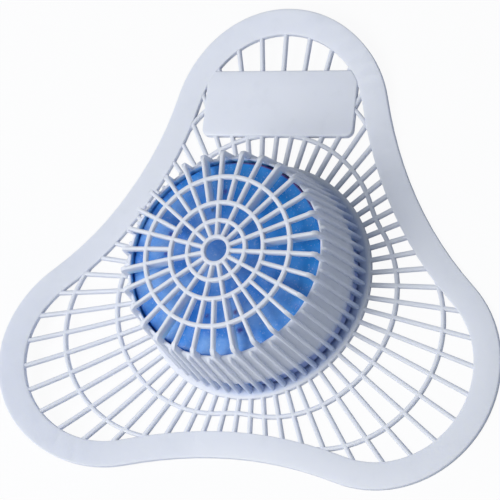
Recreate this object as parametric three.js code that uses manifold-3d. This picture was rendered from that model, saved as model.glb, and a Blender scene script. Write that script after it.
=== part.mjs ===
// Urinal deodorizer screen: one soft moulding with a deodorant block in its basket.
// Millimetres, +Z up. The moulding lies on the plane z = 0, under the middle of its outline.

import * as THREE from 'three';
import * as BufferGeometryUtils from 'three/addons/utils/BufferGeometryUtils.js';
import Module from 'manifold-3d';

// Rim: three round lobes joined by hollow waists, all measured from the basket's axis
const rimOutline = { lobeCentre: 65.4, lobeRadius: 46.7, waistRadius: 71.4 };
const rimWidth = 10.4;
const rimThickness = 2.0;
const rimDraft = 0.2;

// Flange lattice between the basket and the rim
const flangeRibCount = 60;
const flangeRibWidth = 1.75;
const flangeRibHeight = 1.8;
const ribDraft = 0.3;
const innerLoopOutline = { lobeCentre: 13.5, lobeRadius: 47.45, waistRadius: 53.5 };
const loopWidth = 1.7;
const lobeHoop = { centre: 37.1, radius: 47.0, halfAngle: 62 };
const jointOverlap = 2.0;

// Blank label pad across the upper lobe: its sides stand in from the rim's inner arc,
// and it rises above and drops below the lobe's centre
const pad = { sideInset: 4.1, rise: 21.6, drop: 5.5, thickness: 2.3, cornerRadius: 3.0, rimLap: 0.5 };

// Basket: a tapered wall on a flat ring, with upright fins outside
const baseRingOuterRadius = 48.0;
const baseRingThickness = 2.0;
const wallTopHeight = 34.5;
const wallTopInnerRadius = 39.0;
const wallThickness = 1.3;
const wallDraft = 0.14;
const finCount = 60;
const hubRibStep = 24;
const finThickness = 1.5;
const finProjection = 1.3;
const finTopRadius = 2.2;
const windowBottom = 2.0;
const windowTop = 9.5;
const windowWidth = 2.7;

// Open grille over the block
const grilleTopHeight = 42.8;
const grilleDomeDrop = 1.5;
const grilleRibDepth = 2.4;
const grilleCornerRadius = 41.0;
const grilleShoulderRadius = 3.4;
const grilleRingRadii = [5.3, 11.8, 19.05, 29.5];
const grilleRingWidth = 1.8;
const grilleRingDepth = 1.9;
const spacerBladeDepth = 5.6;
const spacerBladeAngles = [12, 60, 108, 156, 192, 240, 288, 336];

// Deodorant block and the catches that hold it
const blockTopRadius = 38.0;
const blockTopHeight = 32.0;
const blockEdgeRadius = 1.6;
const catchCount = 6;
const catchWidth = 8.0;
const catchThickness = 1.8;
const catchReach = 2.0;
const seatClearance = 0.3;

// Rise of each lobe's tip as the soft flange curls up from its root circle
const curlRootRadius = 40.0;
const lobes = [
  { angle: 90, tipRise: 8.0 },
  { angle: 210, tipRise: 11.0 },
  { angle: 330, tipRise: 0.0 },
];

const arcSteps = { lobe: 14, waist: 5, hoop: 10, corner: 4, shoulder: 4, finTop: 3, block: 72 };
const overlap = 0.3;
const facetTolerance = 0.01;

const degrees = Math.PI / 180;
const wasm = await Module();
wasm.setup();

// Solids and meshes

function toManifold(geometry) {
  const bare = geometry.clone();
  bare.deleteAttribute('normal');
  bare.deleteAttribute('uv');
  const merged = BufferGeometryUtils.mergeVertices(bare, 1e-4);
  const mesh = new wasm.Mesh({
    numProp: 3,
    vertProperties: new Float32Array(merged.attributes.position.array),
    triVerts: new Uint32Array(merged.index.array),
  });
  return new wasm.Manifold(mesh);
}

function toGeometry(solid) {
  const mesh = solid.getMesh();
  const geometry = new THREE.BufferGeometry();
  geometry.setAttribute('position', new THREE.BufferAttribute(mesh.vertProperties.slice(), 3));
  geometry.setIndex(new THREE.BufferAttribute(mesh.triVerts.slice(), 1));
  return geometry;
}

function joinAll(geometries) {
  let solids = geometries.map(toManifold);
  while (solids.length > 1) {
    const next = [];
    for (let i = 0; i < solids.length; i += 2) {
      next.push(i + 1 < solids.length ? solids[i].add(solids[i + 1]) : solids[i]);
    }
    solids = next;
  }
  return solids[0];
}

// Skins a row of sections; the last joins the first when closed, otherwise both ends are capped
function loft(sections, closed) {
  const count = sections[0].length;
  const positions = sections.flat().flatMap((p) => [p.x, p.y, p.z]);
  const index = [];
  const last = closed ? sections.length : sections.length - 1;
  for (let i = 0; i < last; i += 1) {
    const a = i * count;
    const b = ((i + 1) % sections.length) * count;
    for (let j = 0; j < count; j += 1) {
      const k = (j + 1) % count;
      index.push(a + j, b + j, b + k, a + j, b + k, a + k);
    }
  }
  if (!closed) {
    const end = (sections.length - 1) * count;
    for (let j = 1; j < count - 1; j += 1) {
      index.push(0, j, j + 1);
      index.push(end, end + j + 1, end + j);
    }
  }
  const geometry = new THREE.BufferGeometry();
  geometry.setAttribute('position', new THREE.Float32BufferAttribute(positions, 3));
  geometry.setIndex(index);
  return geometry;
}

// A radial plate: its outline lies in the plane of radius and height
function radialPlate(outline, thickness, angle) {
  const shape = new THREE.Shape(outline.map(([r, z]) => new THREE.Vector2(r, z)));
  const plate = new THREE.ExtrudeGeometry(shape, { depth: thickness, bevelEnabled: false });
  plate.translate(0, 0, -thickness / 2);
  const radial = new THREE.Vector3(Math.cos(angle), Math.sin(angle), 0);
  const up = new THREE.Vector3(0, 0, 1);
  const across = new THREE.Vector3().crossVectors(radial, up);
  return plate.applyMatrix4(new THREE.Matrix4().makeBasis(radial, up, across));
}

// Outlines of three lobes and three waists

// The hollow arc of a waist is tangent to the lobes on both sides of it
function trefoilArcs({ lobeCentre: d, lobeRadius: r, waistRadius: w }) {
  const waistArc = (r * r - d * d - w * w + d * w) / (2 * w - d - 2 * r);
  const waistCentre = w + waistArc;
  const lobeEnd = Math.atan2(
    waistCentre * Math.sin(60 * degrees),
    waistCentre * Math.cos(60 * degrees) - d,
  );
  return { waistArc, waistCentre, lobeEnd };
}

// Points with their outward normals, anticlockwise from the first lobe
function trefoil(outline) {
  const { lobeCentre, lobeRadius } = outline;
  const { waistArc, waistCentre, lobeEnd } = trefoilArcs(outline);
  const waistEnd = lobeEnd - 60 * degrees;
  const points = [];
  for (const { angle } of lobes) {
    const axis = angle * degrees;
    for (let i = 0; i <= arcSteps.lobe; i += 1) {
      const a = axis - lobeEnd + (2 * lobeEnd * i) / arcSteps.lobe;
      points.push({
        x: lobeCentre * Math.cos(axis) + lobeRadius * Math.cos(a),
        y: lobeCentre * Math.sin(axis) + lobeRadius * Math.sin(a),
        nx: Math.cos(a),
        ny: Math.sin(a),
      });
    }
    const waistAxis = axis + 60 * degrees;
    for (let i = 1; i < arcSteps.waist; i += 1) {
      const a = waistAxis + waistEnd - (2 * waistEnd * i) / arcSteps.waist;
      points.push({
        x: waistCentre * Math.cos(waistAxis) - waistArc * Math.cos(a),
        y: waistCentre * Math.sin(waistAxis) - waistArc * Math.sin(a),
        nx: Math.cos(a),
        ny: Math.sin(a),
      });
    }
  }
  return points;
}

// Distance from the axis to the rim's inner edge along a ray, which meets a lobe's arc or a waist's
function rimInnerRadius(angle) {
  const { lobeCentre, lobeRadius } = rimOutline;
  const { waistArc, waistCentre, lobeEnd } = trefoilArcs(rimOutline);
  const inner = lobeRadius - rimWidth;
  for (const lobe of lobes) {
    const turn = angle - lobe.angle * degrees;
    const across = lobeCentre * Math.sin(turn);
    const reach = lobeCentre * Math.cos(turn) + Math.sqrt(Math.max(0, inner * inner - across * across));
    const bearing = Math.atan2(reach * Math.sin(turn), reach * Math.cos(turn) - lobeCentre);
    if (Math.abs(across) < inner && Math.cos(turn) > 0 && Math.abs(bearing) < lobeEnd) {
      return reach;
    }
  }
  const sector = 120 * degrees;
  const fromWaist = angle - lobes[0].angle * degrees - sector / 2;
  const turn = fromWaist - sector * Math.round(fromWaist / sector);
  const across = waistCentre * Math.sin(turn);
  return waistCentre * Math.cos(turn) - Math.sqrt((waistArc + rimWidth) ** 2 - across * across);
}

// A bar's section across its path: both sides lean in by the draft from foot to crown
function barSection(point, width, height, draft) {
  const foot = width / 2;
  const crown = foot - draft;
  const corners = [
    [-foot, 0],
    [foot, 0],
    [crown, height],
    [-crown, height],
  ];
  return corners.map(([s, z]) => new THREE.Vector3(point.x + s * point.nx, point.y + s * point.ny, z));
}

// Flange

function rimBand() {
  const sections = trefoil(rimOutline).map((p) => {
    const middle = { ...p, x: p.x - (p.nx * rimWidth) / 2, y: p.y - (p.ny * rimWidth) / 2 };
    return barSection(middle, rimWidth, rimThickness, rimDraft);
  });
  return loft(sections, true);
}

function innerLoop() {
  const sections = trefoil(innerLoopOutline).map((p) => barSection(p, loopWidth, flangeRibHeight, ribDraft));
  return loft(sections, true);
}

function hoop(lobe) {
  const axis = lobe.angle * degrees;
  const half = lobeHoop.halfAngle * degrees;
  const sections = [];
  for (let i = 0; i <= arcSteps.hoop; i += 1) {
    const a = axis - half + (2 * half * i) / arcSteps.hoop;
    const point = {
      x: lobeHoop.centre * Math.cos(axis) + lobeHoop.radius * Math.cos(a),
      y: lobeHoop.centre * Math.sin(axis) + lobeHoop.radius * Math.sin(a),
      nx: Math.cos(a),
      ny: Math.sin(a),
    };
    sections.push(barSection(point, loopWidth, flangeRibHeight, ribDraft));
  }
  return loft(sections, false);
}

function flangeRib(index) {
  const angle = (index * 360 * degrees) / flangeRibCount;
  const start = baseRingOuterRadius - jointOverlap;
  const end = rimInnerRadius(angle) + jointOverlap;
  const sections = [start, end].map((r) =>
    barSection(
      { x: r * Math.cos(angle), y: r * Math.sin(angle), nx: -Math.sin(angle), ny: Math.cos(angle) },
      flangeRibWidth,
      flangeRibHeight,
      ribDraft,
    ),
  );
  return loft(sections.reverse(), false);
}

// The pad's upper corners follow the rim's inner arc, a little way onto the rim
function labelPad() {
  const lapRadius = rimOutline.lobeRadius - rimWidth + pad.rimLap;
  const half = lapRadius - pad.sideInset;
  const bottom = rimOutline.lobeCentre - pad.drop;
  const arcStart = Math.acos(half / lapRadius);
  const arcEnd = Math.asin(pad.rise / lapRadius);
  const shape = new THREE.Shape();
  shape.absarc(0, rimOutline.lobeCentre, lapRadius, Math.PI - arcEnd, Math.PI - arcStart, false);
  shape.lineTo(-half, bottom + pad.cornerRadius);
  shape.absarc(
    -half + pad.cornerRadius,
    bottom + pad.cornerRadius,
    pad.cornerRadius,
    Math.PI,
    1.5 * Math.PI,
    false,
  );
  shape.absarc(
    half - pad.cornerRadius,
    bottom + pad.cornerRadius,
    pad.cornerRadius,
    1.5 * Math.PI,
    2 * Math.PI,
    false,
  );
  shape.absarc(0, rimOutline.lobeCentre, lapRadius, arcStart, arcEnd, false);
  const depth = pad.thickness;
  return new THREE.ExtrudeGeometry(shape, { depth, bevelEnabled: false, curveSegments: arcSteps.corner });
}

// Basket

function wallInnerRadius(z) {
  return wallTopInnerRadius + (wallTopHeight - z) * wallDraft;
}

function finEdgeRadius(z) {
  return wallInnerRadius(z) + wallThickness + finProjection;
}

function lathe(profile, segments) {
  const points = profile.map(([r, z]) => new THREE.Vector2(r, z));
  const geometry = new THREE.LatheGeometry([...points, points[0]], segments);
  return geometry.rotateX(Math.PI / 2);
}

function basketWall() {
  const profile = [
    [wallInnerRadius(0), 0],
    [baseRingOuterRadius, 0],
    [baseRingOuterRadius, baseRingThickness],
    [wallInnerRadius(baseRingThickness) + wallThickness, baseRingThickness],
    [wallInnerRadius(wallTopHeight) + wallThickness, wallTopHeight - overlap],
    [wallInnerRadius(wallTopHeight) + wallThickness / 2, wallTopHeight],
    [wallTopInnerRadius, wallTopHeight - overlap],
  ];
  return lathe(profile, finCount);
}

// Height of the grille's top surface, which is slightly domed
function grilleTop(r) {
  return grilleTopHeight - grilleDomeDrop * (r / grilleCornerRadius) ** 2;
}

function arcPoints(centreR, centreZ, radius, from, to, steps) {
  const points = [];
  for (let i = 0; i <= steps; i += 1) {
    const a = (from + ((to - from) * i) / steps) * degrees;
    points.push([centreR + radius * Math.cos(a), centreZ + radius * Math.sin(a)]);
  }
  return points;
}

// A main rib runs up the wall as a fin, over the shoulder and in across the grille
function mainRib(angleDegrees) {
  const reachesHub = angleDegrees % hubRibStep === 0;
  const [hub, , innerRing, outerRing] = grilleRingRadii;
  const depth = spacerBladeAngles.includes(angleDegrees) ? spacerBladeDepth : grilleRibDepth;
  const shoulderZ = grilleTop(grilleCornerRadius) - grilleShoulderRadius;
  const outerR = finEdgeRadius(shoulderZ);
  const shoulderR = outerR - grilleShoulderRadius;
  const shoulder = arcPoints(shoulderR, shoulderZ, grilleShoulderRadius, 8, 90, arcSteps.shoulder);
  const embedR = (z) => wallInnerRadius(z) + wallThickness / 2;
  const outline = [
    [embedR(overlap), overlap],
    [finEdgeRadius(overlap), overlap],
    ...shoulder,
    [outerRing, grilleTop(outerRing)],
    [innerRing, grilleTop(innerRing)],
  ];
  if (reachesHub) {
    outline.push([hub, grilleTop(hub)], [hub, grilleTop(hub) - grilleRibDepth]);
  }
  outline.push(
    [innerRing, grilleTop(innerRing) - grilleRibDepth],
    [innerRing, grilleTop(innerRing) - depth],
    [wallTopInnerRadius - overlap, grilleTop(wallTopInnerRadius) - depth],
    [embedR(wallTopHeight) - wallThickness / 2, wallTopHeight - overlap],
  );
  return radialPlate(outline, finThickness, angleDegrees * degrees);
}

// A short fin starts with a round top under the wall's edge
function shortFin(angleDegrees) {
  const topZ = wallTopHeight - finTopRadius;
  const embedR = (z) => wallInnerRadius(z) + wallThickness / 2;
  const outline = [
    [embedR(overlap), overlap],
    [finEdgeRadius(overlap), overlap],
    ...arcPoints(finEdgeRadius(topZ) - finTopRadius, topZ, finTopRadius, 8, 90, arcSteps.finTop),
  ];
  return radialPlate(outline, finThickness, angleDegrees * degrees);
}

function grilleRing(radius) {
  const top = grilleTop(radius);
  const half = grilleRingWidth / 2;
  const profile = [
    [radius - half, top - grilleRingDepth],
    [radius + half, top - grilleRingDepth],
    [radius + half - ribDraft, top],
    [radius - half + ribDraft, top],
  ];
  return lathe(profile, finCount / 2);
}

function windowCutter(index) {
  const angle = ((index + 0.5) * 360 * degrees) / finCount;
  const reach = baseRingOuterRadius - wallTopInnerRadius;
  const cutter = new THREE.BoxGeometry(reach, windowWidth, windowTop - windowBottom);
  cutter.translate(wallInnerRadius(windowBottom), 0, (windowTop + windowBottom) / 2);
  return cutter.rotateZ(angle);
}

// The block tapers with the wall, at an even gap from it
function blockSideRadius(z) {
  return blockTopRadius + (blockTopHeight - z) * wallDraft;
}

function blockCatch(index) {
  const angle = (index * 360 * degrees) / catchCount + (180 * degrees) / finCount;
  const outer = wallInnerRadius(0) + wallThickness;
  const inner = blockSideRadius(catchThickness) - catchReach;
  const tab = new THREE.BoxGeometry(outer - inner, catchWidth, catchThickness);
  tab.translate((outer + inner) / 2, 0, catchThickness / 2);
  return tab.rotateZ(angle);
}

// The soft flange curls up towards two of its tips

function curlRise(x, y) {
  const tip = rimOutline.lobeCentre + rimOutline.lobeRadius;
  let rise = 0;
  for (const { angle, tipRise } of lobes) {
    const along = x * Math.cos(angle * degrees) + y * Math.sin(angle * degrees);
    const share = Math.max(0, along - curlRootRadius) / (tip - curlRootRadius);
    rise += tipRise * share * share;
  }
  return rise;
}

function curlFlange(geometry) {
  const position = geometry.attributes.position;
  for (let i = 0; i < position.count; i += 1) {
    const rise = curlRise(position.getX(i), position.getY(i));
    position.setZ(i, position.getZ(i) + rise);
  }
  return geometry;
}

function range(count) {
  return Array.from({ length: count }, (_, i) => i);
}

function screenGeometry() {
  const ribStep = 360 / finCount;
  const fins = range(finCount).map((i) => (i % 2 === 0 ? mainRib(i * ribStep) : shortFin(i * ribStep)));
  const solid = joinAll([
    basketWall(),
    rimBand(),
    innerLoop(),
    labelPad(),
    ...lobes.map(hoop),
    ...range(flangeRibCount).map(flangeRib),
    ...fins,
    ...grilleRingRadii.map(grilleRing),
    ...range(catchCount).map(blockCatch),
  ]);
  const windows = joinAll(range(finCount).map(windowCutter));
  const moulding = solid.subtract(windows).asOriginal().simplify(facetTolerance);
  return curlFlange(toGeometry(moulding));
}

function blockGeometry() {
  const bottom = catchThickness + seatClearance;
  const edge = blockEdgeRadius;
  const profile = [
    [0, bottom],
    ...arcPoints(blockSideRadius(bottom) - edge, bottom + edge, edge, -90, 0, arcSteps.corner),
    ...arcPoints(blockTopRadius - edge, blockTopHeight - edge, edge, 0, 90, arcSteps.corner),
    [0, blockTopHeight],
  ];
  const points = profile.map(([r, z]) => new THREE.Vector2(r, z));
  return new THREE.LatheGeometry(points, arcSteps.block).rotateX(Math.PI / 2);
}

const softPlastic = new THREE.MeshStandardMaterial({ color: 0xdae2ef, roughness: 0.5, metalness: 0 });
const blueBlock = new THREE.MeshStandardMaterial({ color: 0x2b6cb8, roughness: 0.35, metalness: 0 });

const group = new THREE.Group();
const screen = new THREE.Mesh(screenGeometry(), softPlastic);
screen.name = 'screen';
const block = new THREE.Mesh(blockGeometry(), blueBlock);
block.name = 'deodorant_block';
group.add(screen, block);

// The middle of the outline lies over the origin, so the basket's axis is a little below it in Y
screen.geometry.computeBoundingBox();
const footprint = screen.geometry.boundingBox;
group.position.y = -(footprint.min.y + footprint.max.y) / 2;

export default group;
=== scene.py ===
# %% [markdown]
# # A urinal deodorizer screen
# The real object is one soft white moulding with a blue deodorant block in its basket. The
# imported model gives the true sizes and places, and this script models the moulding again with
# the rounded crowns and the fine curves that soft vinyl takes from its mould.

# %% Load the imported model
from math import acos, asin, atan2, cos, pi, radians, sin, sqrt

import bpy
from mathutils import Matrix, Vector


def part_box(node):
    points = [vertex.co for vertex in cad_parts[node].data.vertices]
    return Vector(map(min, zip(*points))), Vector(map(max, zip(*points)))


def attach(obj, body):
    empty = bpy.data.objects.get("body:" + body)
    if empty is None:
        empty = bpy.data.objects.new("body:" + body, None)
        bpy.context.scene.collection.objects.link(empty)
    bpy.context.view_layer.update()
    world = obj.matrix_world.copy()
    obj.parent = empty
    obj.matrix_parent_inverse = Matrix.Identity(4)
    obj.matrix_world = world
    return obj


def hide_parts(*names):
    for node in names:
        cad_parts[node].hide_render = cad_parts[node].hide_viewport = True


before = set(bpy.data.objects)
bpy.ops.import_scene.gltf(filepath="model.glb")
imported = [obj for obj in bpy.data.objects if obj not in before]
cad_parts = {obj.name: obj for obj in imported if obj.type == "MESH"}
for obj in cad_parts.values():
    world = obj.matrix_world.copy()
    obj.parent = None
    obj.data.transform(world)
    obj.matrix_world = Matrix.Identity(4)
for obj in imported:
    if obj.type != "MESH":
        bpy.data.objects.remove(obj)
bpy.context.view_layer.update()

# %% [markdown]
# ## The photograph's view
# The camera looks down on the screen from the lower right, with a long lens and a small roll.
# Its angles, distance and lens were fitted to the moulding's outline and to its rings. It is
# made first, so that every piece can be looked at from the right side while it is modelled.

# %% Camera
MM = 0.001
block_low, block_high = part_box("deodorant_block")
AXIS = Vector(((block_low.x + block_high.x) / 2, (block_low.y + block_high.y) / 2, 0))

VIEW_TILT = radians(28.43)
VIEW_BEARING = radians(-33.28)
VIEW_ROLL = radians(8.74)
VIEW_DISTANCE = 821 * MM
VIEW_TARGET = AXIS + Vector((-4.13, 12.25, 2.0)) * MM
FOCAL_PIXELS = 2074.8
FRAME_PIXELS = 500
SENSOR_WIDTH = 36

towards_camera = Vector((
    sin(VIEW_TILT) * cos(VIEW_BEARING),
    sin(VIEW_TILT) * sin(VIEW_BEARING),
    cos(VIEW_TILT),
))
upright = Vector((-sin(VIEW_ROLL), cos(VIEW_ROLL), 0))
to_the_right = upright.cross(towards_camera).normalized()
to_the_top = towards_camera.cross(to_the_right)

bpy.ops.object.camera_add(location=VIEW_TARGET + towards_camera * VIEW_DISTANCE)
camera = bpy.context.object
camera.name = "photo_camera"
turn = Matrix((to_the_right, to_the_top, towards_camera)).transposed()
camera.rotation_euler = turn.to_euler()
camera.data.sensor_width = SENSOR_WIDTH
camera.data.lens = FOCAL_PIXELS / FRAME_PIXELS * SENSOR_WIDTH
camera.data.clip_start = 0.01
camera.data.clip_end = 20
bpy.context.scene.camera = camera
print("lens", round(camera.data.lens, 1), "mm")

# %% [markdown]
# ## Sizes of the moulding
# The outline is three round lobes joined by hollow waists, with every arc tangent to the next.
# All sizes are in millimetres from the basket's axis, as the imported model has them.

# %% Sizes
LOBES = [
    {"angle": 90, "tip_rise": 8.0},
    {"angle": 210, "tip_rise": 11.0},
    {"angle": 330, "tip_rise": 0.0},
]
RIM = {"lobe_centre": 65.4, "lobe_radius": 46.7, "waist_radius": 71.4}
RIM_WIDTH = 10.4
RIM_THICKNESS = 2.0
RIM_CROWN = 0.45
INNER_LOOP = {"lobe_centre": 13.5, "lobe_radius": 47.45, "waist_radius": 53.5}
HOOP_CENTRE = 37.1
HOOP_RADIUS = 47.0
HOOP_HALF_ANGLE = 62
LATTICE_HEIGHT = 1.8
RIB_WIDTH = 1.75
RIB_CROWN = 0.75
LOOP_WIDTH = 1.7
LOOP_CROWN = 0.7
RIB_STEP = 6

PAD_HALF_WIDTH = 32.7
PAD_BOTTOM = 59.9
PAD_TOP = 87.0
PAD_THICKNESS = 2.3
PAD_CORNER = 3.0
PAD_CROWN = 0.6
PAD_RIM_LAP = 0.5

BASE_RADIUS = 48.0
BASE_THICKNESS = 2.0
WALL_TOP = 34.5
WALL_TOP_RADIUS = 39.0
WALL_THICKNESS = 1.3
WALL_DRAFT = 0.14
FIN_THICKNESS = 1.6
FIN_PROJECTION = 1.3
FIN_CROWN = 0.74
FIN_FOOT = 0.3
SHORT_FIN_TOP = 2.2
WINDOW = {"bottom": 2.0, "top": 9.5, "width": 2.7, "corner": 0.4}
WINDOW_COUNT = 60

GRILLE_TOP = 42.8
GRILLE_DOME = 1.5
GRILLE_CORNER = 41.0
GRILLE_RIB_DEPTH = 2.4
GRILLE_RINGS = [5.3, 11.8, 19.05, 29.5]
GRILLE_RING_WIDTH = 1.8
GRILLE_RING_DEPTH = 1.9
SHOULDER_RADIUS = 3.4
BLADE_DEPTH = 5.6
BLADE_ANGLES = [12, 60, 108, 156, 192, 240, 288, 336]

CATCH_COUNT = 6
CATCH_WIDTH = 8.0
CATCH_THICKNESS = 1.8
CATCH_REACH = 2.0
CATCH_CROWN = 0.5
LIP_REACH = 3.4
LIP_THICKNESS = 1.4
LIP_EDGE = 0.3
CURL_ROOT = 40.0
BLOCK_TOP = block_high.z / MM
BLOCK_BOTTOM = block_low.z / MM
BLOCK_TOP_RADIUS = 38.8
BLOCK_DRAFT = 0.145
BLOCK_EDGE = 0.9
WEAR_SIZE = 5.0
WEAR_DEPTH = 0.6


def wall_inner(z):
    """Inner radius of the tapered wall at a height."""
    return WALL_TOP_RADIUS + (WALL_TOP - z) * WALL_DRAFT


def fin_edge(z):
    """Radius of the fins' outer edge at a height."""
    return wall_inner(z) + WALL_THICKNESS + FIN_PROJECTION


def grille_top(r):
    """Height of the slightly domed grille at a radius."""
    return GRILLE_TOP - GRILLE_DOME * (r / GRILLE_CORNER) ** 2


def block_side(z):
    """Radius of the block at a height, which tapers with the wall and nearly fills its foot."""
    return BLOCK_TOP_RADIUS + (BLOCK_TOP - z) * BLOCK_DRAFT


def arcs_of(outline):
    """Radius and centre of the hollow waist arcs, and the angle at which a lobe ends."""
    d, r, w = outline["lobe_centre"], outline["lobe_radius"], outline["waist_radius"]
    waist_arc = (r * r - d * d - w * w + d * w) / (2 * w - d - 2 * r)
    waist_centre = w + waist_arc
    lobe_end = atan2(waist_centre * sin(radians(60)), waist_centre * cos(radians(60)) - d)
    return waist_arc, waist_centre, lobe_end


print("waist arc of the rim", round(arcs_of(RIM)[0], 1), "mm")

# %% [markdown]
# ## Tools for modelling
# A few helpers carry the work: one lays down a flat outline, one sweeps it round an arc with
# the spin operator, and one turns copies of a piece round the basket's axis. Everything is
# deselected before a new piece is started, because an operator acts on all that is selected.

# %% Modelling helpers


def start_fresh():
    """Leave edit mode and deselect everything."""
    if bpy.context.object and bpy.context.object.mode == "EDIT":
        bpy.ops.object.mode_set(mode="OBJECT")
    bpy.ops.object.select_all(action="DESELECT")


def take(pieces):
    """Select some pieces, with the first one active."""
    start_fresh()
    for piece in pieces:
        piece.select_set(True)
    bpy.context.view_layer.objects.active = pieces[0]


def flat_outline(name, corners):
    """A flat face, started as a disc, with its corners at the outline's points."""
    start_fresh()
    bpy.ops.mesh.primitive_circle_add(vertices=len(corners), radius=MM, fill_type="NGON")
    piece = bpy.context.object
    piece.name = name
    for vertex, corner in zip(piece.data.vertices, corners):
        vertex.co = Vector(corner) * MM
    return piece


def bar_section(name, x, y, heading, width, height, crown):
    """A bar's upright section at a point, across its heading, with a rounded crown."""
    side = Vector((cos(heading), sin(heading), 0)) * width / 2
    foot = Vector((x, y, 0))
    rise = Vector((0, 0, height))
    piece = flat_outline(name, [foot - side, foot + side, foot + side + rise, foot - side + rise])
    select_vertices(piece, lambda co: co.z > height / 2)
    bpy.ops.mesh.bevel(affect="VERTICES", offset=crown * MM, segments=4)
    return piece


def select_vertices(piece, wanted):
    """Enter edit mode with just the vertices that a test in millimetres picks."""
    take([piece])
    bpy.ops.object.mode_set(mode="EDIT")
    bpy.ops.mesh.select_mode(type="VERT")
    bpy.ops.mesh.select_all(action="DESELECT")
    bpy.ops.object.mode_set(mode="OBJECT")
    for vertex in piece.data.vertices:
        vertex.select = bool(wanted(vertex.co / MM))
    bpy.ops.object.mode_set(mode="EDIT")


def select_edges(piece, wanted):
    """Enter edit mode with just the edges whose two ends pass a test in millimetres."""
    take([piece])
    bpy.ops.object.mode_set(mode="EDIT")
    bpy.ops.mesh.select_mode(type="EDGE")
    bpy.ops.mesh.select_all(action="DESELECT")
    bpy.ops.object.mode_set(mode="OBJECT")
    corners = piece.data.vertices
    for edge in piece.data.edges:
        a, b = (corners[i].co / MM for i in edge.vertices)
        edge.select = bool(wanted(a, b))
    bpy.ops.object.mode_set(mode="EDIT")


def spin_section(x, y, angle, steps):
    """Sweep what is selected anticlockwise about an upright axis; the operator's sign is turned."""
    centre = Vector((x, y, 0)) * MM
    bpy.ops.mesh.spin(steps=steps, angle=-angle, center=centre, axis=(0, 0, 1))


def open_section(piece):
    """Keep only the section's edges, for a sweep that closes on itself."""
    take([piece])
    bpy.ops.object.mode_set(mode="EDIT")
    bpy.ops.mesh.select_all(action="SELECT")
    bpy.ops.mesh.delete(type="ONLY_FACE")
    bpy.ops.mesh.select_all(action="SELECT")


def close_up(piece):
    """Merge the seam and turn every face outwards."""
    bpy.ops.mesh.select_all(action="SELECT")
    bpy.ops.mesh.remove_doubles(threshold=0.002 * MM)
    bpy.ops.mesh.normals_make_consistent(inside=False)
    bpy.ops.object.mode_set(mode="OBJECT")
    return piece


def full_ring(name, corners, steps):
    """A ring of one section of radius and height, spun once round the basket's axis."""
    piece = flat_outline(name, [(r, 0, z) for r, z in corners])
    open_section(piece)
    spin_section(0, 0, 2 * pi, steps)
    return close_up(piece)


def copies_round(piece, angles):
    """Copies of a piece, each with its own mesh, turned to each angle and joined."""
    made = []
    for angle in angles:
        take([piece])
        bpy.ops.object.duplicate()
        copy = bpy.context.object
        copy.rotation_euler.z = radians(angle)
        made.append(copy)
    bpy.data.objects.remove(piece)
    return join(made)


def join(pieces):
    """Join pieces that do not touch into one mesh, with its place applied."""
    take(pieces)
    if len(pieces) > 1:
        bpy.ops.object.join()
    bpy.ops.object.transform_apply(location=True, rotation=True, scale=True)
    return bpy.context.object


def weld(piece, other, operation="UNION"):
    """Join or cut one closed piece with another, and remove the other."""
    take([piece])
    step = piece.modifiers.new(name="weld", type="BOOLEAN")
    step.operation = operation
    step.solver = "MANIFOLD"
    step.object = other
    bpy.ops.object.modifier_apply(modifier=step.name)
    bpy.data.objects.remove(other)
    return piece


# %% [markdown]
# ## The rim and the loops
# The rim is one section, 10.4 mm wide, swept round six tangent arcs with the spin operator:
# a lobe turns one way about its own centre, and a waist turns back about a far one. The inner
# loop follows the same kind of outline, and each lobe has a hoop that runs out under the rim.

# %% Rim, inner loop and hoops
LOBE_STEPS = 40
WAIST_STEPS = 12
HOOP_STEPS = 40


def swept_trefoil(name, outline, inset, width, height, crown):
    """A bar swept along three lobes and three waists, closed on itself."""
    waist_arc, waist_centre, lobe_end = arcs_of(outline)
    first = radians(LOBES[0]["angle"])
    start = first - lobe_end
    reach = outline["lobe_radius"] - inset
    x = outline["lobe_centre"] * cos(first) + reach * cos(start)
    y = outline["lobe_centre"] * sin(first) + reach * sin(start)
    piece = bar_section(name, x, y, start, width, height, crown)
    open_section(piece)
    for lobe in LOBES:
        axis = radians(lobe["angle"])
        centre = outline["lobe_centre"]
        spin_section(centre * cos(axis), centre * sin(axis), 2 * lobe_end, LOBE_STEPS)
        waist = axis + radians(60)
        back = -2 * (lobe_end - radians(60))
        spin_section(waist_centre * cos(waist), waist_centre * sin(waist), back, WAIST_STEPS)
    return close_up(piece)


rim = swept_trefoil("rim", RIM, RIM_WIDTH / 2, RIM_WIDTH, RIM_THICKNESS, RIM_CROWN)
inner_loop = swept_trefoil("inner_loop", INNER_LOOP, 0, LOOP_WIDTH, LATTICE_HEIGHT, LOOP_CROWN)


def lobe_hoop():
    """The hoop of the lobe that lies along +X, before it is turned to its place."""
    half = radians(HOOP_HALF_ANGLE)
    x = HOOP_CENTRE + HOOP_RADIUS * cos(half)
    y = -HOOP_RADIUS * sin(half)
    piece = bar_section("hoop", x, y, -half, LOOP_WIDTH, LATTICE_HEIGHT, LOOP_CROWN)
    bpy.ops.mesh.select_all(action="SELECT")
    spin_section(HOOP_CENTRE, 0, 2 * half, HOOP_STEPS)
    return close_up(piece)


hoops = copies_round(lobe_hoop(), [lobe["angle"] for lobe in LOBES])
print("rim faces", len(rim.data.polygons), "loop faces", len(inner_loop.data.polygons))

# %% [markdown]
# ## The radial ribs
# Sixty ribs run from the basket's foot to the rim. The outline repeats in each lobe and is
# mirrored about its axis, so only eleven lengths occur: each is modelled once and copied to
# the places that have it.

# %% Radial ribs of the flange
RIB_OVERLAP = 2.0


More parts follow.
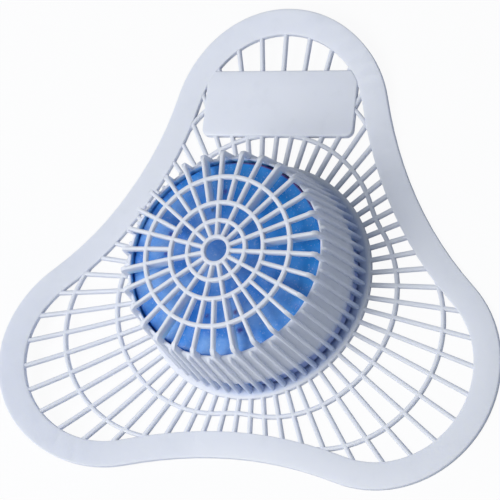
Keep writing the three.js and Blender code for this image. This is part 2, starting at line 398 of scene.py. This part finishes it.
def rim_inner(turn):
    """Distance from the axis to the rim's inner edge, at an angle from a lobe's axis."""
    waist_arc, waist_centre, lobe_end = arcs_of(RIM)
    inner = RIM["lobe_radius"] - RIM_WIDTH
    across = RIM["lobe_centre"] * sin(turn)
    if abs(across) < inner:
        reach = RIM["lobe_centre"] * cos(turn) + sqrt(inner * inner - across * across)
        bearing = atan2(reach * sin(turn), reach * cos(turn) - RIM["lobe_centre"])
        if abs(bearing) < lobe_end:
            return reach
    off = radians(60) - abs(turn)
    across = waist_centre * sin(off)
    return waist_centre * cos(off) - sqrt((waist_arc + RIM_WIDTH) ** 2 - across * across)


def flange_rib(turn):
    """One rib along +X, as long as the rim lets it be at this angle from a lobe's axis."""
    start = BASE_RADIUS - RIB_OVERLAP
    length = rim_inner(turn) + RIB_OVERLAP - start
    piece = bar_section("rib", start, 0, pi / 2, RIB_WIDTH, LATTICE_HEIGHT, RIB_CROWN)
    bpy.ops.mesh.select_all(action="SELECT")
    bpy.ops.mesh.extrude_region_move(TRANSFORM_OT_translate={"value": (length * MM, 0, 0)})
    return close_up(piece)


rib_sets = []
for turn in range(0, 61, RIB_STEP):
    places = {(lobe["angle"] + side * turn) % 360 for lobe in LOBES for side in (-1, 1)}
    rib_sets.append(copies_round(flange_rib(radians(turn)), sorted(places)))
flange_ribs = join(rib_sets)
print("flange ribs", len(flange_ribs.data.polygons), "faces")

# %% [markdown]
# ## The label pad
# The pad is a plain plate, a little thicker than the rim, with a softly rounded top edge. Its
# upper corners follow the rim. It starts as a flat outline that is extruded up and bevelled.

# %% Label pad
PAD_ARC_STEPS = 5


def pad_outline():
    """Round lower corners, and upper ones that follow the rim's inner arc."""
    lap = RIM["lobe_radius"] - RIM_WIDTH + PAD_RIM_LAP
    first = acos(PAD_HALF_WIDTH / lap)
    last = asin((PAD_TOP - RIM["lobe_centre"]) / lap)
    right = []
    for i in range(PAD_ARC_STEPS + 1):
        a = radians(-90 + 90 * i / PAD_ARC_STEPS)
        x = PAD_HALF_WIDTH - PAD_CORNER * (1 - cos(a))
        right.append((x, PAD_BOTTOM + PAD_CORNER * (1 + sin(a)), 0))
    for i in range(PAD_ARC_STEPS + 1):
        a = first + (last - first) * i / PAD_ARC_STEPS
        right.append((lap * cos(a), RIM["lobe_centre"] + lap * sin(a), 0))
    return right + [(-x, y, z) for x, y, z in reversed(right)]


pad = flat_outline("label_pad", pad_outline())
take([pad])
bpy.ops.object.mode_set(mode="EDIT")
bpy.ops.mesh.select_all(action="SELECT")
bpy.ops.mesh.extrude_region_move(TRANSFORM_OT_translate={"value": (0, 0, PAD_THICKNESS * MM)})
close_up(pad)
select_edges(pad, lambda a, b: min(a.z, b.z) > PAD_THICKNESS / 2)
bpy.ops.mesh.bevel(offset=PAD_CROWN * MM, segments=3)
close_up(pad)
print("label pad", len(pad.data.polygons), "faces")

# %% [markdown]
# ## The basket's wall
# The wall and the flat ring at its foot are one section of radius and height, spun once round.
# Sixty windows are then cut low in the wall, one between each two fins.

# %% Wall and windows
WALL_STEPS = 180

wall = full_ring(
    "wall",
    [
        (wall_inner(0), 0),
        (BASE_RADIUS, 0),
        (BASE_RADIUS, BASE_THICKNESS - 0.6),
        (BASE_RADIUS - 0.2, BASE_THICKNESS - 0.2),
        (BASE_RADIUS - 0.6, BASE_THICKNESS),
        (wall_inner(BASE_THICKNESS) + WALL_THICKNESS + 0.8, BASE_THICKNESS),
        (wall_inner(BASE_THICKNESS) + WALL_THICKNESS + 0.1, BASE_THICKNESS + 0.5),
        (wall_inner(BASE_THICKNESS + 1) + WALL_THICKNESS, BASE_THICKNESS + 1),
        (wall_inner(WALL_TOP - 0.9) + WALL_THICKNESS, WALL_TOP - 0.9),
        (wall_inner(WALL_TOP) + WALL_THICKNESS - 0.2, WALL_TOP - 0.3),
        (wall_inner(WALL_TOP) + WALL_THICKNESS / 2, WALL_TOP),
        (WALL_TOP_RADIUS + 0.15, WALL_TOP - 0.1),
        (WALL_TOP_RADIUS, WALL_TOP - 0.5),
    ],
    WALL_STEPS,
)


def window_cutter():
    """A block that passes through the wall between two fins, along +X."""
    start_fresh()
    bpy.ops.mesh.primitive_cube_add(size=MM)
    cutter = bpy.context.object
    height = WINDOW["top"] - WINDOW["bottom"]
    cutter.scale = (BASE_RADIUS - WALL_TOP_RADIUS, WINDOW["width"], height)
    middle = (WINDOW["top"] + WINDOW["bottom"]) / 2
    cutter.location = Vector((wall_inner(WINDOW["bottom"]), 0, middle)) * MM
    bpy.ops.object.transform_apply(location=True, rotation=True, scale=True)
    select_edges(cutter, lambda a, b: abs(a.x - b.x) > 1)
    bpy.ops.mesh.bevel(offset=WINDOW["corner"] * MM, segments=2)
    bpy.ops.object.mode_set(mode="OBJECT")
    return cutter


windows = copies_round(window_cutter(), [RIB_STEP * (i + 0.5) for i in range(WINDOW_COUNT)])
weld(wall, windows, "DIFFERENCE")
print("wall", len(wall.data.polygons), "faces")

# %% [markdown]
# ## Fins and grille ribs
# A main rib starts as a fin at the basket's foot, climbs the wall, turns over a round shoulder
# and crosses the grille. Every second one runs to the hub, and eight carry a deeper blade that
# keeps the block down. Short fins stand between them and begin with a round top at the lip.

# %% Fins and grille ribs


def arc(centre_r, centre_z, radius, first, last, steps):
    """Points of an arc in the plane of radius and height, in degrees."""
    angles = [radians(first + (last - first) * i / steps) for i in range(steps + 1)]
    return [(centre_r + radius * cos(a), centre_z + radius * sin(a)) for a in angles]


def radial_plate(name, corners, crown):
    """A plate in the plane of radius and height, with its outer and upper edges rounded."""
    half = FIN_THICKNESS / 2
    piece = flat_outline(name, [(r, -half, z) for r, z in corners])
    take([piece])
    bpy.ops.object.mode_set(mode="EDIT")
    bpy.ops.mesh.select_all(action="SELECT")
    bpy.ops.mesh.extrude_region_move(TRANSFORM_OT_translate={"value": (0, FIN_THICKNESS * MM, 0)})
    close_up(piece)
    select_edges(piece, lambda a, b: abs(a.y - b.y) < 0.01 and crown(a) and crown(b))
    bpy.ops.mesh.bevel(offset=FIN_CROWN * MM, segments=4)
    return close_up(piece)


CROWN_MARGIN = 0.3
FIN_TOP_BAND = 1.5


def is_crown(co):
    """Whether a point lies on a rib's outer edge or on the grille's top surface."""
    return co.x > fin_edge(co.z) - CROWN_MARGIN or co.z > grille_top(co.x) - CROWN_MARGIN


def is_short_crown(co):
    """Whether a point lies on a short fin's outer edge or on its round top."""
    return co.x > fin_edge(co.z) - CROWN_MARGIN or co.z > WALL_TOP - FIN_TOP_BAND


def fin_foot():
    """The lower end of a fin, from inside the wall to the fin's outer edge."""
    return [(wall_inner(FIN_FOOT) + WALL_THICKNESS / 2, FIN_FOOT), (fin_edge(FIN_FOOT), FIN_FOOT)]


def main_rib(reaches_hub, depth):
    """One main rib along +X, from the basket's foot to the grille."""
    hub, _, inner_ring, outer_ring = GRILLE_RINGS
    shoulder_z = grille_top(GRILLE_CORNER) - SHOULDER_RADIUS
    shoulder_r = fin_edge(shoulder_z) - SHOULDER_RADIUS
    corners = fin_foot()
    corners += arc(shoulder_r, shoulder_z, SHOULDER_RADIUS, 8, 90, 10)
    corners += [(outer_ring, grille_top(outer_ring)), (inner_ring, grille_top(inner_ring))]
    if reaches_hub:
        corners += [(hub, grille_top(hub)), (hub, grille_top(hub) - GRILLE_RIB_DEPTH)]
    corners += [(inner_ring, grille_top(inner_ring) - GRILLE_RIB_DEPTH)]
    if depth > GRILLE_RIB_DEPTH:
        corners += [(inner_ring + 0.3, grille_top(inner_ring) - depth)]
    corners += [
        (WALL_TOP_RADIUS - 0.3, grille_top(WALL_TOP_RADIUS) - depth),
        (WALL_TOP_RADIUS, WALL_TOP - 0.8),
        (wall_inner(WALL_TOP - 2) + WALL_THICKNESS / 2, WALL_TOP - 2),
    ]
    return radial_plate("main_rib", corners, is_crown)


def short_fin():
    """One short fin along +X, with a round top under the wall's lip."""
    top_z = WALL_TOP - SHORT_FIN_TOP
    corners = fin_foot()
    corners += arc(fin_edge(top_z) - SHORT_FIN_TOP, top_z, SHORT_FIN_TOP, 8, 90, 6)
    corners += [(wall_inner(top_z) + WALL_THICKNESS / 2, top_z)]
    return radial_plate("short_fin", corners, is_short_crown)


HUB_STEP = 4 * RIB_STEP
main_angles = range(0, 360, 2 * RIB_STEP)
kinds = [
    (True, GRILLE_RIB_DEPTH),
    (True, BLADE_DEPTH),
    (False, GRILLE_RIB_DEPTH),
    (False, BLADE_DEPTH),
]
rib_groups = []
for reaches_hub, depth in kinds:
    places = [
        a for a in main_angles
        if (a % HUB_STEP == 0) == reaches_hub and (a in BLADE_ANGLES) == (depth == BLADE_DEPTH)
    ]
    rib_groups.append(copies_round(main_rib(reaches_hub, depth), places))
main_ribs = join(rib_groups)
short_fins = copies_round(short_fin(), range(RIB_STEP, 360, 2 * RIB_STEP))
print("main ribs", len(main_ribs.data.polygons), "short fins", len(short_fins.data.polygons))

# %% [markdown]
# ## Rings of the grille
# Each ring has a flat foot and a round crown, like the ribs, and lies at the dome's height.

# %% Grille rings
RING_STEPS = [48, 60, 90, 120]


def grille_ring(radius, steps):
    """One ring of the grille at its own height on the dome."""
    half = GRILLE_RING_WIDTH / 2
    top = grille_top(radius)
    foot = top - GRILLE_RING_DEPTH
    crown = arc(radius, top - half * 0.8, half, 20, 160, 6)
    corners = [(radius - half, foot), (radius + half, foot)]
    corners += [(r, min(z, top)) for r, z in crown]
    return full_ring("ring", corners, steps)


rings = join([grille_ring(radius, steps) for radius, steps in zip(GRILLE_RINGS, RING_STEPS)])
print("rings", len(rings.data.polygons), "faces")

# %% [markdown]
# ## Catches under the block
# Six short tongues reach in from the foot ring and hold the block in the basket. Between them
# a thin lip runs round inside the foot, and keeps dye and crumbs off the bowl.

# %% Catches and foot lip


def catch():
    """One tongue along +X, with rounded edges."""
    start_fresh()
    bpy.ops.mesh.primitive_cube_add(size=MM)
    piece = bpy.context.object
    inner = block_side(CATCH_THICKNESS) - CATCH_REACH
    outer = wall_inner(0) + WALL_THICKNESS
    piece.scale = (outer - inner, CATCH_WIDTH, CATCH_THICKNESS)
    piece.location = Vector(((outer + inner) / 2, 0, CATCH_THICKNESS / 2)) * MM
    bpy.ops.object.transform_apply(location=True, rotation=True, scale=True)
    select_edges(piece, lambda a, b: max(a.x, b.x) < inner + 1)
    bpy.ops.mesh.bevel(offset=CATCH_CROWN * MM, segments=2)
    return close_up(piece)


catches = copies_round(catch(), [60 * i + RIB_STEP / 2 for i in range(CATCH_COUNT)])
lip_inner = wall_inner(0) - LIP_REACH
lip_outer = wall_inner(0) + WALL_THICKNESS / 2
lip_section = [
    (lip_inner, LIP_EDGE),
    (lip_inner + LIP_EDGE, 0),
    (lip_outer, 0),
    (lip_outer, LIP_THICKNESS),
    (lip_inner + LIP_EDGE, LIP_THICKNESS),
    (lip_inner, LIP_THICKNESS - LIP_EDGE),
]
foot_lip = full_ring("foot_lip", lip_section, WALL_STEPS)

# %% [markdown]
# ## One moulding
# All of these come out of the mould as one piece, so they are welded into one closed skin. The
# upper and left lobes of the soft flange curl up a little towards their tips. The long faces
# are first cut across, so that they can follow that curve.

# %% Weld and curl
screen = rim
flange_parts = [inner_loop, hoops, pad, flange_ribs]
basket_parts = [wall, foot_lip, catches, main_ribs, short_fins, rings]
for part in flange_parts + basket_parts:
    weld(screen, part)
screen.name = "moulded_screen"
screen.data.name = "moulded_screen"

CURL_CUT_STEP = 5.0
TIP_REACH = RIM["lobe_centre"] + RIM["lobe_radius"]


def cut_across(piece, angle):
    """Cut the flange across a lobe at even steps, so that it bends smoothly."""
    along = Vector((cos(radians(angle)), sin(radians(angle)), 0))
    reach = CURL_ROOT + CURL_CUT_STEP
    while reach < TIP_REACH:
        take([piece])
        bpy.ops.object.mode_set(mode="EDIT")
        bpy.ops.mesh.select_all(action="SELECT")
        bpy.ops.mesh.bisect(plane_co=along * reach * MM, plane_no=along)
        bpy.ops.object.mode_set(mode="OBJECT")
        reach += CURL_CUT_STEP


for lobe in LOBES:
    if lobe["tip_rise"]:
        cut_across(screen, lobe["angle"])
for vertex in screen.data.vertices:
    rise = 0
    for lobe in LOBES:
        axis = radians(lobe["angle"])
        reach = (vertex.co.x * cos(axis) + vertex.co.y * sin(axis)) / MM
        share = max(0, reach - CURL_ROOT) / (TIP_REACH - CURL_ROOT)
        rise += lobe["tip_rise"] * share ** 2
    vertex.co.z += rise * MM

screen.location = AXIS
take([screen])
bpy.ops.object.transform_apply(location=True, rotation=True, scale=True)
bpy.ops.object.shade_smooth_by_angle(angle=radians(32))
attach(screen, "root")
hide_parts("screen")
print("moulded screen", len(screen.data.polygons), "faces")

# %% [markdown]
# ## The deodorant block
# The block is pressed, with rounded edges, and tapers with the basket. Water has worn it a
# little, so after it is spun from a section, a displacement gives its edge and its faces a
# slight unevenness that a plain turned shape doesn't have.

# %% Block
BLOCK_RINGS = 22
BLOCK_SIDE_STEPS = 14
BLOCK_STEPS = 150


def block_section():
    """Half of the block's section, from the axis out, down the side and back to the axis."""
    flat_top = BLOCK_TOP_RADIUS - BLOCK_EDGE
    flat_bottom = block_side(BLOCK_BOTTOM) - BLOCK_EDGE
    low_edge = BLOCK_BOTTOM + BLOCK_EDGE
    high_edge = BLOCK_TOP - BLOCK_EDGE
    points = [(flat_bottom * i / BLOCK_RINGS, BLOCK_BOTTOM) for i in range(BLOCK_RINGS)]
    points += arc(flat_bottom, low_edge, BLOCK_EDGE, -90, 0, 5)
    for i in range(1, BLOCK_SIDE_STEPS):
        z = low_edge + (high_edge - low_edge) * i / BLOCK_SIDE_STEPS
        points.append((block_side(z), z))
    points += arc(flat_top, high_edge, BLOCK_EDGE, 0, 90, 5)
    points += [(flat_top * i / BLOCK_RINGS, BLOCK_TOP) for i in reversed(range(BLOCK_RINGS))]
    return points


block = full_ring("pressed_block", block_section(), BLOCK_STEPS)
wear = bpy.data.textures.new("wear", "CLOUDS")
wear.noise_scale = WEAR_SIZE * MM
wear.noise_depth = 2
worn = block.modifiers.new(name="wear", type="DISPLACE")
worn.texture = wear
worn.texture_coords = "LOCAL"
worn.strength = WEAR_DEPTH * MM
worn.mid_level = 0.6
take([block])
bpy.ops.object.modifier_apply(modifier=worn.name)
block.location = AXIS
bpy.ops.object.transform_apply(location=True, rotation=True, scale=True)
bpy.ops.object.shade_smooth_by_angle(angle=radians(40))
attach(block, "root")
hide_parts("deodorant_block")
print("block", len(block.data.polygons), "faces")

# %% [markdown]
# ## Shader maths as expressions
# A small class wraps a socket, so that a pattern can be written as an expression and each
# operator adds its own Math node. Every other node comes from one method of the finish.

# %% Shader helpers


class Value:
    """A number in a node tree that can be used in arithmetic."""

    def __init__(self, finish, socket):
        self.finish = finish
        self.socket = socket

    def math(self, operation, *terms):
        made = self.finish.node("ShaderNodeMath", {"operation": operation}, dict(enumerate(terms)))
        return Value(self.finish, made.outputs[0])

    def __add__(self, other):
        return self.math("ADD", self, other)

    __radd__ = __add__

    def __mul__(self, other):
        return self.math("MULTIPLY", self, other)

    __rmul__ = __mul__

    def __sub__(self, other):
        return self.math("SUBTRACT", self, other)

    def __rsub__(self, other):
        return self.math("SUBTRACT", other, self)

    def __pow__(self, other):
        return self.math("POWER", self, other)

    def above(self, low, high):
        """0 below low, 1 above high, and smooth between them."""
        ends = {"Value": self, "From Min": low, "From Max": high}
        made = self.finish.node("ShaderNodeMapRange", {"interpolation_type": "SMOOTHSTEP"}, ends)
        return Value(self.finish, made.outputs["Result"])


class Finish:
    """A material and its node tree."""

    def __init__(self, name):
        self.material = bpy.data.materials.new(name)
        self.material.use_nodes = True
        self.tree = self.material.node_tree
        self.shader = self.tree.nodes["Principled BSDF"]

    def node(self, kind, settings, sockets):
        """Add a node of a kind, with its settings and the values or links of its sockets."""
        made = self.tree.nodes.new(kind)
        for name, setting in settings.items():
            setattr(made, name, setting)
        for name, value in sockets.items():
            self.feed(made.inputs[name], value)
        return made

    def feed(self, socket, value):
        """Give a socket a value, or link it."""
        if isinstance(value, Value):
            value = value.socket
        if isinstance(value, bpy.types.NodeSocket):
            self.tree.links.new(value, socket)
        else:
            socket.default_value = value

    def set(self, sockets):
        """Give the shader's own sockets their values or links."""
        for name, value in sockets.items():
            self.feed(self.shader.inputs[name], value)

    def place(self):
        """Object coordinates, and each coordinate in millimetres from the basket's axis."""
        coordinates = self.node("ShaderNodeTexCoord", {}, {}).outputs["Object"]
        parts = self.node("ShaderNodeSeparateXYZ", {}, {"Vector": coordinates}).outputs
        x, y, z = (Value(self, part) * (1 / MM) for part in parts)
        return coordinates, x - AXIS.x / MM, y - AXIS.y / MM, z

    def noise(self, coordinates, size, detail=3.0, roughness=0.5):
        """Soft noise with features of about a size in millimetres."""
        sockets = {
            "Vector": coordinates,
            "Scale": 1 / (size * MM),
            "Detail": detail,
            "Roughness": roughness,
        }
        return Value(self, self.node("ShaderNodeTexNoise", {}, sockets).outputs["Fac"])

    def mix(self, factor, first, second):
        """Mix two colours by a factor."""
        sockets = {0: factor, 6: first, 7: second}
        return self.node("ShaderNodeMix", {"data_type": "RGBA"}, sockets).outputs[2]

    def bump(self, height, strength, distance):
        """Raise the surface a little by a height."""
        sockets = {"Height": height, "Strength": strength, "Distance": distance * MM}
        self.set({"Normal": self.node("ShaderNodeBump", {}, sockets).outputs["Normal"]})

    def wear_on(self, piece):
        """Put the finish on a piece."""
        piece.data.materials.clear()
        piece.data.materials.append(self.material)


def seen(red, green, blue):
    """A colour as seen on screen, from 0 to 255, in the linear values that nodes take."""
    return [((c / 255 + 0.055) / 1.055) ** 2.4 for c in (red, green, blue)] + [1.0]


# %% [markdown]
# ## Soft white vinyl
# The moulding is a bluish white with a satin gloss and a very fine skin from the mould. Light
# passes a little way into it. Inside the wall it is stained blue with dye and painted lighter,
# most near the lip, for the block's blue light through the wall. The lower half of the deep
# blades is light blue. Round the windows at the basket's foot a painted blue shade, strongest on
# the side away from the lamp, stands in for light bounced from the block.

# %% Vinyl finish
vinyl = Finish("soft_white_vinyl")
coordinates, x, y, z = vinyl.place()
radius = (x * x + y * y) ** 0.5
wall_line = (WALL_TOP_RADIUS + WALL_TOP * WALL_DRAFT) - z * WALL_DRAFT
patches = vinyl.noise(coordinates, 6.0)
on_wall = 1 - (radius - wall_line).above(0.1, 0.45)
# Inside the wall: dye stain, painted lighter towards the lip for the block's light through the
# wall.
wall_stain_and_glow = on_wall * (1 - z.above(33.3, 34.2)) * z.above(2.6, 4.0)
# Light blue on the lower half of the deep blades.
blade_foot_blue = (1 - z.above(36.9, 39.4)) * z.above(34.6, 34.9) * (1 - radius.above(38.6, 38.9))
# Painted blue shade at the foot, for light bounced from the block, strongest away from the lamp.
foot_blue_shade = radius.above(39.0, 40.0) * (1 - radius.above(45.6, 47.6)) * (1 - z.above(8.0, 13.0))
foot_blue_shade = foot_blue_shade * (0.94 * x - 0.34 * y).above(-12.0, 30.0)
ledge = (1 - z.above(1.5, 2.4)) * (1 - radius.above(44.0, 45.2))
clouds = vinyl.noise(coordinates, 40.0, 2.0)
skin = vinyl.mix(clouds, seen(222, 227, 239), seen(228, 232, 242))
skin = vinyl.mix(vinyl.noise(coordinates, 9.0).above(0.55, 0.75) * 0.25, skin, seen(212, 217, 228))
stain_and_shade = vinyl.mix(foot_blue_shade * (0.3 + 0.3 * patches), skin, seen(150, 180, 230))
stain_and_shade = vinyl.mix(ledge, stain_and_shade, seen(180, 198, 242))
stain_and_shade = vinyl.mix(blade_foot_blue * 0.8, stain_and_shade, seen(178, 222, 248))
# Stain blue, painted lighter near the lip for light passing through the wall.
stain_blue_with_glow = vinyl.mix((z + 4 * patches).above(33.0, 35.4), seen(120, 196, 248), seen(185, 226, 252))
vinyl.set({
    "Base Color": vinyl.mix(wall_stain_and_glow, stain_and_shade, stain_blue_with_glow),
    "Roughness": 0.4 + 0.12 * vinyl.noise(coordinates, 3.0, 2.0),
    "Subsurface Weight": 0.45,
    "Subsurface Radius": (1.0, 1.0, 1.15),
    "Subsurface Scale": 2.0 * MM,
    "Specular IOR Level": 0.4,
})
vinyl.bump(vinyl.noise(coordinates, 0.5), 0.15, 0.05)
vinyl.wear_on(screen)

# %% [markdown]
# ## The pressed block
# The block is a waxy blue with random hazy patches. As painted light, it is paler on the side
# nearer the lamp and a deeper blue away from it and at its far edge. Pale grains show all over,
# with a few spots of undissolved dye. Painted shade darkens the top's outer edge, maroon on the
# upper side, and the side is painted very pale, darker low down, to look lit. A thin clear coat
# gives the damp gloss.

# %% Block finish
DYE_SPOTS = [
    {"at": (-8.5, 19.0), "size": 0.9, "colour": (75, 85, 105)},
    {"at": (7.1, -21.2), "size": 1.3, "colour": (95, 55, 110)},
    {"at": (10.2, -28.1), "size": 1.6, "colour": (60, 45, 150)},
    {"at": (-25.5, 0.8), "size": 1.0, "colour": (85, 70, 170)},
    {"at": (-18.8, -1.1), "size": 0.7, "colour": (90, 50, 140)},
    {"at": (-24.7, 8.9), "size": 1.5, "colour": (50, 70, 170)},
    {"at": (-4.5, 26.5), "size": 1.4, "colour": (75, 75, 165)},
    {"at": (-4.2, -23.2), "size": 1.2, "colour": (55, 65, 160)},
]

wax = Finish("blue_deodorant_wax")
coordinates, x, y, z = wax.place()
radius = (x * x + y * y) ** 0.5
clouds = wax.noise(coordinates, 16.0, 4.0, 0.6)
# Painted light: paler hazy blue nearer the lamp, a deeper blue away from it and at the far edge.
away_from_lamp = (0.77 * x + 0.64 * y + 26 * clouds).above(4.0, 42.0)
haze_on_lit_side = clouds.above(0.38, 0.62) * (1 - 0.92 * away_from_lamp)
hazy = wax.mix(wax.noise(coordinates, 2.2), seen(104, 162, 232), seen(134, 184, 240))
far_edge_shade = away_from_lamp * radius.above(18.0, 34.0)
base_blue_shaded_far = wax.mix(away_from_lamp, seen(48, 138, 226), seen(10, 146, 230))
base_blue_shaded_far = wax.mix(far_edge_shade, base_blue_shaded_far, seen(0, 138, 220))
body = wax.mix(haze_on_lit_side, base_blue_shaded_far, hazy)
body = wax.mix(wax.noise(coordinates, 7.0, 2.0).above(0.6, 0.72) * 0.6, body, seen(66, 130, 220))
for spot in DYE_SPOTS:
    across, along = spot["at"]
    far = ((x - across) ** 2 + (y - along) ** 2) ** 0.5 + 1.2 * wax.noise(coordinates, 1.0)
    inside = 1 - far.above(spot["size"] * 0.5, spot["size"] + 1.0)
    body = wax.mix(inside * 0.9, body, seen(*spot["colour"]))
# Painted shade darkens the top's outer edge.
crevice = radius.above(BLOCK_TOP_RADIUS - 1.3, BLOCK_TOP_RADIUS - 0.3)
body = wax.mix(crevice * 0.3, body, seen(24, 100, 190))
# Painted shade, maroon, along the top's edge on the upper side.
maroon_edge_shade = crevice * (0.45 * x + 0.89 * y + 8 * clouds).above(33.0, 39.0)
body = wax.mix(maroon_edge_shade * 0.9, body, seen(125, 30, 85))
grains = wax.noise(coordinates, 0.75, 1.0).above(0.64, 0.72)
body = wax.mix(grains * 0.3, body, seen(205, 220, 245))
# Painted light: the side is very pale to look lit in its shade, darker below about 7 mm.
side = 1 - z.above(27.0, 30.0)
side_painted_lit = wax.mix((z + 2 * clouds).above(6.2, 7.6), seen(190, 205, 250), seen(240, 240, 255))
wax.set({
    "Base Color": wax.mix(side, body, side_painted_lit),
    "Roughness": 0.38 + 0.2 * haze_on_lit_side,
    "Coat Weight": 0.35 - 0.2 * haze_on_lit_side,
    "Coat Roughness": 0.2,
})
wax.bump(wax.noise(coordinates, 1.4, 4.0) + 0.5 * grains, 0.3, 0.2)
wax.wear_on(block)

# %% [markdown]
# ## Floor and light
# A wide pale floor takes the shadow. Seen by the camera it is nearly white by itself, so the
# light on the object can stay plain. One large soft lamp stands on the left.

# %% Floor
FLOOR_SIZE = 6.0
start_fresh()
bpy.ops.mesh.primitive_plane_add(size=FLOOR_SIZE, location=(0, 0, 0))
floor = bpy.context.object
floor.name = "pale_floor"
ground = Finish("pale_floor")
ground.set({"Base Color": seen(214, 219, 232), "Roughness": 0.9})
glow = ground.node("ShaderNodeEmission", {}, {"Color": (1.0, 1.0, 1.0, 1.0), "Strength": 1.0})
rays = ground.node("ShaderNodeLightPath", {}, {})
share = Value(ground, rays.outputs["Is Camera Ray"]) * 0.94
layers = {0: share, 1: ground.shader.outputs[0], 2: glow.outputs[0]}
blend = ground.node("ShaderNodeMixShader", {}, layers)
ground.feed(ground.tree.nodes["Material Output"].inputs["Surface"], blend.outputs[0])
ground.wear_on(floor)

# %% Lamps
world = bpy.data.worlds.new("studio")
world.use_nodes = True
sky = world.node_tree.nodes["Background"]
sky.inputs["Color"].default_value = (0.80, 0.88, 1.0, 1.0)
sky.inputs["Strength"].default_value = 0.3
bpy.context.scene.world = world


def soft_lamp(name, offset, size, power):
    """A square lamp that looks at the basket from an offset in metres."""
    start_fresh()
    bpy.ops.object.light_add(type="AREA", location=AXIS + Vector(offset))
    lamp = bpy.context.object
    lamp.name = name
    lamp.data.size = size
    lamp.data.energy = power
    lamp.data.color = (1.0, 0.98, 0.95)
    lamp.rotation_euler = Vector(offset).to_track_quat("Z", "Y").to_euler()
    return lamp


soft_lamp("key_lamp", (-0.47, -0.34, 0.92), 0.8, 10.4)

# %% [markdown]
# ## Finish
# Colours are shown as they are written, with the standard view transform.

# %% Finish
bpy.context.scene.view_settings.view_transform = "Standard"
start_fresh()
